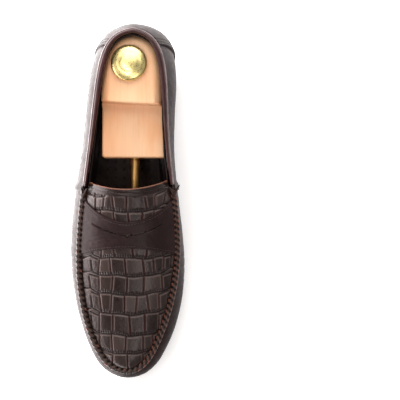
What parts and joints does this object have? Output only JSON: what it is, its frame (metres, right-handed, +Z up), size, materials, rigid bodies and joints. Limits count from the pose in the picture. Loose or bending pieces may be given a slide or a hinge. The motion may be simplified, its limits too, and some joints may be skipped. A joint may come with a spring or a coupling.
{
  "type": "moccasin",
  "caption": "Right-foot slip-on penny moccasin with a raised hand-sewn apron seam and a slotted saddle strap, kept on a sprung wooden shoe tree with a brass knob.",
  "frame": {"origin": "middle of the shoe's box, on the floor", "axes": "+Y to the heel, -Y to the toe, +X to the big-toe side, +Z up"},
  "size_m": [0.0955, 0.2934, 0.0794],
  "materials": {
    "smooth_leather": "polished dark brown calf",
    "embossed_leather": "polished dark brown leather with an embossed scale grain",
    "binding_leather": "maroon-brown rolled edge",
    "lining_leather": "matt very dark brown",
    "waxed_thread": "waxed red-brown thread",
    "sole_rubber": "matt dark rubber",
    "stacked_leather": "stained stacked leather",
    "fibre_board": "bonded fibre board",
    "padding_foam": "soft foam",
    "tree_wood": "satin pale wood",
    "tree_brass": "polished brass",
    "spring_steel": "bright steel"
  },
  "bodies": {
    "shoe": {"outsole": "sole_rubber", "heel_top_piece": "sole_rubber", "heel_lift_lower": "stacked_leather", "heel_lift_upper": "stacked_leather", "heel_nail_1": "tree_brass", "heel_nail_2": "tree_brass", "heel_nail_3": "tree_brass", "heel_nail_4": "tree_brass", "heel_nail_5": "tree_brass", "shank": "spring_steel", "insole_board": "fibre_board", "sock_liner": "lining_leather", "quarter_lateral": "smooth_leather", "quarter_medial": "smooth_leather", "counter_cover": "smooth_leather", "heel_stiffener": "fibre_board", "collar_padding": "padding_foam", "quarter_lining": "lining_leather", "vamp_wall": "smooth_leather", "vamp_lining": "lining_leather", "apron": "embossed_leather", "apron_lining": "lining_leather", "saddle_strap": "smooth_leather", "seam_ridge": "smooth_leather", "seam_thread": "waxed_thread", "topline_binding": "binding_leather", "tree_forepart_main": "tree_wood", "tree_front_tube": "tree_brass", "tree_front_collar": "tree_brass", "tree_spring": "spring_steel", "tree_guide_pin_1": "spring_steel", "tree_guide_pin_2": "spring_steel", "tree_side_spring_1": "spring_steel", "tree_side_spring_2": "spring_steel"},
    "tree_heel": {"tree_heel_block": "tree_wood", "tree_knob": "tree_brass", "tree_knob_washer": "tree_brass", "tree_rear_tube": "tree_brass", "tree_ferrule": "tree_brass"},
    "tree_wing": {"tree_forepart_wing": "tree_wood"}
  },
  "joints": [
    {"name": "heel_block_slide", "type": "slide", "parent": "shoe", "child": "tree_heel", "axis": [0, -1, 0], "range_m": [0, 0.015], "stiffness_N_per_m": 600, "springref_m": -0.01, "deforming": ["tree_spring"]},
    {"name": "wing_slide", "type": "slide", "parent": "shoe", "child": "tree_wing", "axis": [1, 0, 0], "range_m": [0, 0.003], "stiffness_N_per_m": 500, "springref_m": -0.002, "deforming": ["tree_side_spring_1", "tree_side_spring_2"]}
  ]
}
